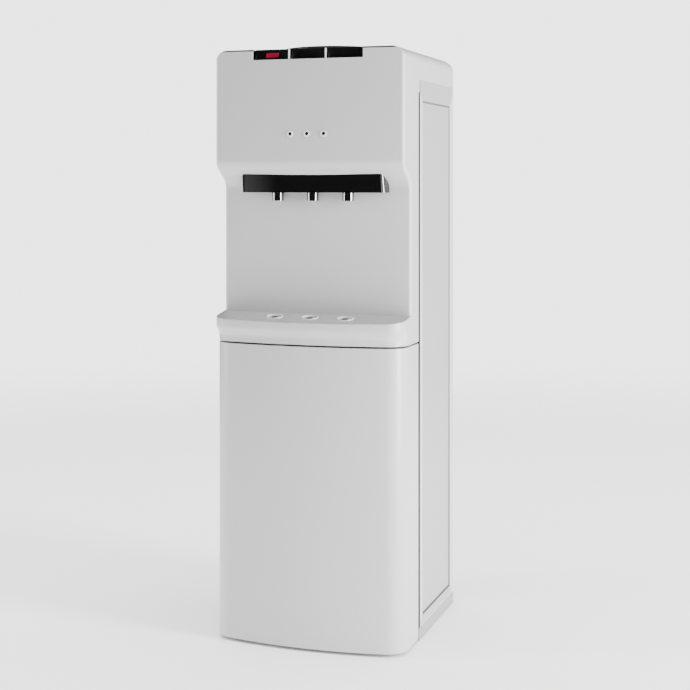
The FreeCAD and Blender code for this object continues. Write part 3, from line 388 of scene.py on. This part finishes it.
def zinc(name, colour, roughness):
    """Galvanised sheet: pale crystals of slightly different grey."""
    material, shader, spot = finish(name, Metallic=0.85)
    crystals = spot.node("ShaderNodeTexVoronoi", {"feature": "F1"}, {"Vector": spot, "Scale": 130.0},
                         out="Color")
    grey = spot.node("ShaderNodeSeparateColor", None, {"Color": crystals})
    feed(shader, Base_Color=grey.between(shade(colour, 0.86), shade(colour, 1.1)),
         Roughness=grey * 0.14 + (roughness - 0.07), Normal=spot.cloud(90).relief(0.00006, 0.3))
    return material


def softened(node, material, edge, **how):
    """A CAD piece with its edges broken as on the real one."""
    piece = merged_copy(node)
    broken_edges(piece, edge, **how)
    stands_for(piece, material, node)


def kept(material, *nodes):
    """CAD pieces that are shown as they are, in this finish."""
    for node in nodes:
        NODES[node].data.materials.clear()
        NODES[node].data.materials.append(material)


liner_pale = moulded("liner pale", (0.70, 0.70, 0.69), roughness=0.5, grain=0.5)
sheet_zinc = zinc("sheet zinc", (0.56, 0.57, 0.58), roughness=0.42)
softened("cabinet_liner", liner_pale, edge=0.0015, segments=3)
kept(sheet_zinc, "tank_deck")


# Tanks: a welded stainless hot tank on a ring and an insulated cold tank above it on four legs.
# Foam wraps the cold tank, and pale pipes lead to the taps.
def drawn_steel(name, colour, roughness, stretch):
    """Bright steel with fine drawn lines along the axis whose stretch is small."""
    material, shader, spot = finish(name, Metallic=1.0)
    lines = spot.cloud(60, 5, stretch)
    feed(shader, Base_Color=lines.between(shade(colour, 0.85), shade(colour, 1.1)),
         Roughness=lines * 0.2 + (roughness - 0.1), Normal=lines.relief(0.00003, 0.3))
    return material


def foam(name, colour):
    """Sprayed insulation: a matt skin of small bubbles."""
    material, shader, spot = finish(name, Specular_IOR_Level=0.25)
    bubbles = spot.node("ShaderNodeTexVoronoi", {"feature": "SMOOTH_F1"}, {"Vector": spot, "Scale": 170.0})
    feed(shader, Base_Color=bubbles.between(shade(colour, 1.05), shade(colour, 0.8)),
         Roughness=bubbles * 0.1 + 0.8, Normal=bubbles.relief(0.0008, 0.5))
    return material


tank_steel = drawn_steel("tank steel", (0.62, 0.62, 0.63), roughness=0.32, stretch=(1, 1, 0.05))
foam_cream = foam("foam cream", (0.68, 0.64, 0.55))
pipe_pale = moulded("pipe pale", (0.62, 0.63, 0.64), roughness=0.25, grain=0.1, coat=0.2)
for node in ("hot_tank", "cold_tank"):
    softened(node, tank_steel, edge=0.0015)
kept(tank_steel, "tank_legs", "hot_tank_stand", "feed_pipe")
softened("tank_insulation", foam_cream, edge=0.003, segments=3)
kept(pipe_pale, "supply_pipes")


# Compressor: a shell of two drawn steel cups, painted black, on four rubber grommets in the base pan.
# The cups are welded round the middle, and the weld stands proud as a bead.
def stove_black(name, colour, roughness):
    """Black stoving paint, a little uneven and dusty."""
    material, shader, spot = finish(name, Specular_IOR_Level=0.5)
    dust_and_shade = spot.cloud(25, 4)
    feed(shader, Base_Color=dust_and_shade.between(shade(colour, 0.8), shade(colour, 1.7)),
         Roughness=dust_and_shade * 0.2 + (roughness - 0.1), Normal=spot.cloud(300).relief(0.00006, 0.4))
    return material


def collar(place, turn, inner, outer, high, edge):
    """A ring turned from a bar: its middle is cut out and its edges are rounded over."""
    ring = blank(outer, high)
    faces_where(ring, lambda centre, normal: abs(normal.z) > FLAT)
    bpy.ops.mesh.inset(thickness=outer - inner)
    bpy.ops.mesh.bridge_edge_loops()
    bpy.ops.object.mode_set(mode="OBJECT")
    broken_edges(ring, edge, segments=4)
    return set_at(ring, place, turn)


def added(piece, material, body):
    """A small piece that the CAD leaves out takes its finish and motion."""
    piece.data.materials.append(material)
    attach(piece, body)


WELD = 0.0012
shell_black = stove_black("shell black", (0.018, 0.018, 0.019), roughness=0.42)
softened("compressor", shell_black, edge=0.004, segments=4, sharp=12)
shell_low, shell_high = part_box("compressor")
shell_radius = (shell_high.x - shell_low.x) / 2
bead = collar((shell_low + shell_high) / 2, (0, 0, 0), inner=shell_radius - WELD, outer=shell_radius + WELD,
              high=2 * WELD, edge=0.9 * WELD)
bead.name = "compressor_weld"
added(bead, shell_black, "cabinet")
kept(foot_rubber, "compressor_mounts")


# Back sheet: galvanised steel with louvre slots low down, screwed to the side panels' folds.
# The condenser, a black tube with thin wires across it, is clipped to it.
QUARTER = math.pi / 2
SCREW_RADIUS = 0.0035
SCREW_MIDDLE = 0.605
SLOT_WIDE = 0.0009
SLOT_LONG = 0.0042
SLOT_DEEP = 0.0011
kept(sheet_zinc, "back_panel")
grid_black = stove_black("grid black", (0.016, 0.016, 0.017), roughness=0.38)
kept(grid_black, "condenser_tube", "condenser_wires", "condenser_clips")
screw_zinc = drawn_steel("screw zinc", (0.55, 0.55, 0.54), roughness=0.3, stretch=(1, 1, 1))
screw_low, screw_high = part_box("back_screws")
screw_x, screw_z = screw_low.x + SCREW_RADIUS, screw_low.z + SCREW_RADIUS
screw = set_at(blank(SCREW_RADIUS, screw_high.y - screw_low.y, sides=32),
               (screw_x, (screw_low.y + screw_high.y) / 2, screw_z), (QUARTER, 0, 0))
broken_edges(screw, edge=0.0007, segments=3)
for turn in (0, QUARTER):
    bpy.ops.mesh.primitive_cube_add(size=1)
    blade = bpy.context.object
    blade.scale = (SLOT_LONG, 2 * SLOT_DEEP, SLOT_WIDE)
    set_at(blade, (screw_x, screw_high.y, screw_z), (0, turn, 0))
    only(screw)
    recess = screw.modifiers.new("cross", "BOOLEAN")
    recess.operation = "DIFFERENCE"
    recess.object = blade
    bpy.ops.object.modifier_apply(modifier=recess.name)
    bpy.data.objects.remove(blade)
screw_rows = (0, SCREW_MIDDLE, screw_high.z - screw_low.z - 2 * SCREW_RADIUS)
screw_cols = (0, screw_high.x - screw_low.x - 2 * SCREW_RADIUS)
screws = repeated(screw, [(x, 0, z) for x in screw_cols for z in screw_rows if x or z])
stands_for(joined(screws, "back_screws_driven"), screw_zinc, "back_screws")


# Front moulding: head, dispensing recess and shelf in one white moulding, screwed to the top frame.
# Its satin skin is the whole upper front of the cooler. A dark rubber strip, plugged at its top,
# seals the seam between it and each side panel. The strip is real, and its near-black colour is also
# painted shade in the seam.
def seam_rubber_and_shade(name, colour, plug, plug_from):
    """Dark sealing strip, painted near-black also as the shade in the seam, that ends in a white plug above
    a height.
    """
    material, shader, spot = finish(name, Specular_IOR_Level=0.3)
    dust_and_shade = spot.cloud(60, 4)
    strip = dust_and_shade.between(shade(colour, 0.8), shade(colour, 1.5))
    in_plug = spot.axis("Z").maths("GREATER_THAN", plug_from)
    feed(shader, Base_Color=in_plug.between(strip, plug), Roughness=dust_and_shade * 0.15 + 0.6)
    return material


SEAM_PLUG = 0.020
front_white = moulded("front white", (0.61, 0.61, 0.615), roughness=0.34, grain=0.35, coat=0.12)
softened("front_moulding", front_white, edge=0.0009, segments=3)
_, gasket_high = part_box("seam_gasket_right")
# Near-black rubber, darker than the feet's: the rubber strip and the painted shade in the seam.
seam_dark = seam_rubber_and_shade("seam rubber", (0.004, 0.004, 0.0043), plug=(0.55, 0.55, 0.555),
                        plug_from=gasket_high.z - SEAM_PLUG)
kept(seam_dark, "seam_gasket_left", "seam_gasket_right")


# Indicator lamps: three dark lenses through the head's face, each in a raised pale ring.
# They are soldered to one small board behind the face.
def dark_lens(name, colour):
    """Smoked plastic, polished, a little uneven in its depth."""
    material, shader, spot = finish(name, Coat_Weight=0.6, Coat_Roughness=0.03)
    depth = spot.cloud(400)
    feed(shader, Base_Color=depth.between(shade(colour, 0.7), shade(colour, 1.3)),
         Roughness=depth * 0.04 + 0.06)
    return material


def board_green(name, mask, copper):
    """Solder mask over copper tracks that run along and across the board."""
    material, shader, spot = finish(name, Specular_IOR_Level=0.5)
    tracks = spot.node("ShaderNodeTexBrick", {"offset": 0.5},
                       {"Vector": spot, "Scale": 90.0, "Mortar Size": 0.03}, out="Fac")
    feed(shader, Base_Color=tracks.between(mask, copper), Roughness=tracks * 0.1 + 0.4)
    return material


LENS_PROUD = 0.0003
lens_dark = dark_lens("lamp lens", (0.008, 0.008, 0.009))
board_mask = board_green("board green", mask=(0.02, 0.12, 0.05), copper=(0.25, 0.14, 0.06))
ring_pale = moulded("lamp ring pale", (0.94, 0.94, 0.94), roughness=0.18, grain=0.1, coat=0.5)
kept(lens_dark, "indicator_lamps")
kept(board_mask, "indicator_board")
lamp_low, lamp_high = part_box("indicator_lamps")
lamp_middle = (lamp_low + lamp_high) / 2
lamp_pitch = (lamp_high.x - lamp_low.x - (lamp_high.z - lamp_low.z)) / 2
ring = collar((lamp_middle.x, lamp_low.y + LENS_PROUD, lamp_middle.z), (QUARTER, 0, 0),
              inner=0.0029, outer=0.0051, high=0.0018, edge=0.0007)
rings = repeated(ring, ((-lamp_pitch, 0, 0), (lamp_pitch, 0, 0)))
added(joined(rings, "indicator_rings"), ring_pale, "cabinet")


# Valve housing and spouts: a gloss black bar in the corner under the head hides the tap valves.
# Below it stand three turned brass spouts, polished and chromed, each with a dark strainer inside.
def piano_black(name, colour, gloss):
    """Polished black plastic with the faintest haze of dust. A lacquer over it may come later."""
    material, shader, spot = finish(name, Specular_IOR_Level=gloss, Coat_Roughness=0.05, Coat_IOR=2.0)
    haze = spot.cloud(30, 4)
    feed(shader, Base_Color=haze.between(colour, shade(colour, 1.6)), Roughness=haze * 0.06 + 0.06)
    return material, shader, spot


def plated(name, colour):
    """Bright chrome with faint water marks."""
    material, shader, spot = finish(name, Metallic=1.0)
    marks = spot.cloud(140, 4)
    feed(shader, Base_Color=marks.between(shade(colour, 0.94), colour), Roughness=marks * 0.06 + 0.03)
    return material


# Across the bar, lacquer covers both ends and a thinner polish fades out from the left one
LACQUER_FROM = 0.1168
POLISH = 0.2
POLISH_FULL = -0.125
POLISH_GONE = -0.055
bar_black, bar_shader, bar_spot = piano_black("bar black", (0.0012, 0.0012, 0.0014), gloss=0.03)
bar_x = bar_spot.axis("X")
lacquered_ends = bar_x.maths("ABSOLUTE").maths("GREATER_THAN", LACQUER_FROM)
polished_left = (1 - bar_x.ramp(POLISH_FULL, POLISH_GONE)) * POLISH
feed(bar_shader, Coat_Weight=lacquered_ends.maths("MAXIMUM", polished_left))
softened("valve_housing", bar_black, edge=0.0012, segments=4)

TAPS = ("hot", "normal", "cold")
SPOUT_WALL = 0.0016
SPOUT_BORE = 0.8
STRAINER_UP = 0.003
STRAINER_GAP = 0.0002
STRAINER_THICK = 0.002
STRAINER_RIM = 0.0012
STRAINER_DISH = 0.0008
spout_chrome = plated("spout chrome", (0.20, 0.205, 0.21))
strainer_black = moulded("strainer black", (0.012, 0.012, 0.013), roughness=0.5, grain=0.4)
spout_low, spout_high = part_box("spout_hot")
spout_at = (spout_low + spout_high) / 2
spout_radius = (spout_high.x - spout_low.x) / 2
spout_tall = spout_high.z - spout_low.z
spout = set_at(blank(spout_radius, spout_tall, sides=96), spout_at)
recessed(spout, looks_down, SPOUT_WALL, SPOUT_BORE * spout_tall)
broken_edges(spout, edge=0.0005, segments=3)
strainer = set_at(blank(spout_radius - SPOUT_WALL - STRAINER_GAP, STRAINER_THICK),
                  (spout_at.x, spout_at.y, spout_low.z + STRAINER_UP))
recessed(strainer, looks_down, STRAINER_RIM, STRAINER_DISH)
broken_edges(strainer, edge=0.0002)
tap_row = [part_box(f"spout_{tap}")[0] - spout_low for tap in TAPS[1:]]
for tap, spout, strainer in zip(TAPS, repeated(spout, tap_row), repeated(strainer, tap_row)):
    spout.name = f"spout_{tap}_turned"
    stands_for(spout, spout_chrome, f"spout_{tap}")
    strainer.name = f"strainer_{tap}"
    added(strainer, strainer_black, "cabinet")


# Drip tray: a white plate with three dished spots under the spouts, each with a drain hole.
# It lies in the shelf's top with a fine gap all round, and its catch pan hangs below.
def looks_up(centre, normal):
    """A face that points away from the floor."""
    return normal.z > FLAT


TRAY_THICK = 0.004
DISH_FRONT = 0.0145
SIEVE_RADIUS = 0.0052
SIEVE_THICK = 0.0007
SIEVE_SET = 0.0009
SIEVE_RIM = 0.0011
SIEVE_DISH = 0.0002
softened("drip_tray", front_white, edge=0.0004)
kept(liner_pale, "drip_pan")
tray_low, tray_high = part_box("drip_tray")
fall = (tray_high.z - tray_low.z - TRAY_THICK) / (tray_high.y - tray_low.y)
tilt = (math.atan(fall), 0, 0)
dish_y = spout_at.y - DISH_FRONT
dish_z = tray_high.z - (tray_high.y - dish_y) * fall
lip = collar((spout_at.x, dish_y, dish_z), tilt, inner=0.0121, outer=0.0143, high=0.0022, edge=0.0009)
sieve = blank(SIEVE_RADIUS, SIEVE_THICK, sides=48)
recessed(sieve, looks_up, SIEVE_RIM, -SIEVE_DISH)
broken_edges(sieve, edge=0.0001)
set_at(sieve, (spout_at.x, dish_y, dish_z - SIEVE_SET), tilt)
lips = repeated(lip, tap_row)
sieves = repeated(sieve, tap_row)
# The lips are raised rims of the tray, and their pale finish, lighter than the tray's white, is a painted
# highlight on each dish's rim.
added(joined(lips, "dish_lips"), ring_pale, "tray")
added(joined(sieves, "drain_sieves"), strainer_black, "tray")


# Keys: three gloss black caps across the head's top edge, on one steel shaft behind them.
# The hot key carries a red child lock that slides in a slot in its front.
key_black, _, _ = piano_black("key black", (0.007, 0.007, 0.0075), gloss=0.2)
for tap in TAPS:
    softened(f"key_{tap}", key_black, edge=0.0003)
lock_red = moulded("lock red", (0.40, 0.014, 0.045), roughness=0.25, grain=0.15, coat=0.3)
softened("lock_slide", lock_red, edge=0.0008, segments=3)
kept(tank_steel, "key_shaft")
carrier_dark = moulded("carrier dark", (0.03, 0.03, 0.031), roughness=0.55, grain=0.5)
kept(carrier_dark, "key_carrier")


# Top: a white frame over the side panels, a thin charcoal lid on it, and the round bottle seat.
# The seat is a funnel over a cup, with a pale probe in its middle that opens the bottle's cap.
softened("top_frame", front_white, edge=0.0007, segments=3)
lid_charcoal = moulded("lid charcoal", (0.035, 0.036, 0.038), roughness=0.48, grain=0.9)
softened("top_lid", lid_charcoal, edge=0.0005)
softened("bottle_seat", lid_charcoal, edge=0.0008, segments=3)
softened("bottle_well", lid_charcoal, edge=0.0008)
softened("bottle_probe", liner_pale, edge=0.0006)


# Door: a bowed white skin clipped over a pale inner panel, on two steel pins at its right edge.
# A magnet on a bracket under the tank deck holds a steel strike on the door.
softened("door_skin", front_white, edge=0.0016, segments=4)
softened("door_panel", liner_pale, edge=0.001)
kept(tank_steel, "upper_hinge", "lower_hinge", "magnet_bracket", "door_strike")
magnet_dark = stove_black("magnet dark", (0.03, 0.029, 0.028), roughness=0.6)
softened("door_magnet", magnet_dark, edge=0.0006)


# Back fittings: a switch plate with a red heat rocker and a green cool rocker, the cord's gland,
# and the tank's drain with its screw cap.
softened("switch_plate", carrier_dark, edge=0.0004)
rocker_red = moulded("rocker red", (0.30, 0.015, 0.015), roughness=0.3, grain=0.1, coat=0.2)
rocker_green = moulded("rocker green", (0.015, 0.16, 0.05), roughness=0.3, grain=0.1, coat=0.2)
softened("rocker_heat", rocker_red, edge=0.0006)
softened("rocker_cool", rocker_green, edge=0.0006)
softened("cord_gland", foot_rubber, edge=0.0006)
kept(liner_pale, "drain_outlet")
RIBS = 24
RIB_HIGH = 0.0006
cap_low, cap_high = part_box("drain_cap")
cap_middle = (cap_low + cap_high) / 2
cap_radius = (cap_high.x - cap_low.x) / 2
cap = set_at(blank(cap_radius - RIB_HIGH, cap_high.y - cap_low.y, sides=2 * RIBS),
             cap_middle, (QUARTER, 0, 0))


def on_rib(centre, normal):
    """Every second face round the cap."""
    turn = math.atan2(centre.z - cap_middle.z, centre.x - cap_middle.x) / math.pi * RIBS
    return abs(normal.y) < FLAT and math.floor(turn) % 2 == 0


faces_where(cap, on_rib)
bpy.ops.mesh.extrude_faces_move(TRANSFORM_OT_shrink_fatten={"value": RIB_HIGH})
bpy.ops.object.mode_set(mode="OBJECT")
broken_edges(cap, edge=0.0003, segments=1, sharp=60)
cap.name = "drain_cap_ribbed"
stands_for(cap, carrier_dark, "drain_cap")


# Studio: a pale floor lit from above, white air behind it, and two tall soft lights at the sides.
# The camera is level, at the photo's place, and is shifted down to hold the whole cooler.
FLOOR_SIZE = 8
FLOOR_DOWN = 0.0005
FADE_FROM = 1.6
FADE_TO = 3.6
floor_paper, floor_shader, floor_spot = finish("studio paper", Specular_IOR_Level=0.0)
fibres = floor_spot.cloud(30)
away = floor_spot.node("ShaderNodeVectorMath", {"operation": "LENGTH"}, {0: floor_spot}, out="Value")
feed(floor_shader, Base_Color=fibres.between((0.93, 0.93, 0.93), (0.95, 0.95, 0.95)),
     Roughness=fibres * 0.05 + 0.9, Alpha=1 - away.ramp(FADE_FROM, FADE_TO))
bpy.ops.mesh.primitive_plane_add(size=FLOOR_SIZE, location=(0, 0, -FLOOR_DOWN))
floor = bpy.context.object
bpy.ops.object.transform_apply(location=True, rotation=True, scale=True)
floor.name = "studio_floor"
floor.data.materials.append(floor_paper)

AIR_SEEN = 3.4
AIR_FELT = 0.05
world = bpy.data.worlds.new("studio air")
bpy.context.scene.world = world
world.use_nodes = True
air = world.node_tree.nodes["Background"].inputs
air["Color"].default_value = (1, 1, 1, 1)
seen = Tone(world.node_tree).node("ShaderNodeLightPath", out="Is Camera Ray")
feed(air, Strength=seen * (AIR_SEEN - AIR_FELT) + AIR_FELT)


def soft_light(name, place, aim, size, watts):
    """A flat studio light that faces a point."""
    bpy.ops.object.light_add(type="AREA", location=place)
    light = bpy.context.object
    light.name = name
    light.data.shape = "RECTANGLE"
    light.data.size, light.data.size_y = size
    light.data.energy = watts
    light.rotation_euler = (Vector(aim) - Vector(place)).to_track_quat("-Z", "Y").to_euler()
    return light


MIDDLE = (0, 0, 0.5)
soft_light("right_window", place=(3.6, -0.7, 0.9), aim=MIDDLE, size=(0.8, 3.0), watts=450)
soft_light("left_window", place=(-3.4, -1.6, 1.3), aim=MIDDLE, size=(0.6, 2.4), watts=120)
overhead = soft_light("floor_wash", place=(0, 1, 4), aim=(0, 1, 0), size=(8, 8), watts=850)
lit_by_wash = bpy.data.collections.new("floor wash")
lit_by_wash.objects.link(floor)
overhead.light_linking.receiver_collection = lit_by_wash

EYE = (0.7756, -2.2702, 0.7396)
VIEW_TURN = math.radians(18.91)
FILM_WIDE = 36
LENS = 74.28
LENS_SHIFT = (0.0145, -0.2359)
FAR_END = 100
bpy.ops.object.camera_add(location=EYE, rotation=(QUARTER, 0, VIEW_TURN))
camera = bpy.context.object
camera.data.sensor_width = FILM_WIDE
camera.data.lens = LENS
camera.data.shift_x, camera.data.shift_y = LENS_SHIFT
camera.data.clip_end = FAR_END
bpy.context.scene.camera = camera
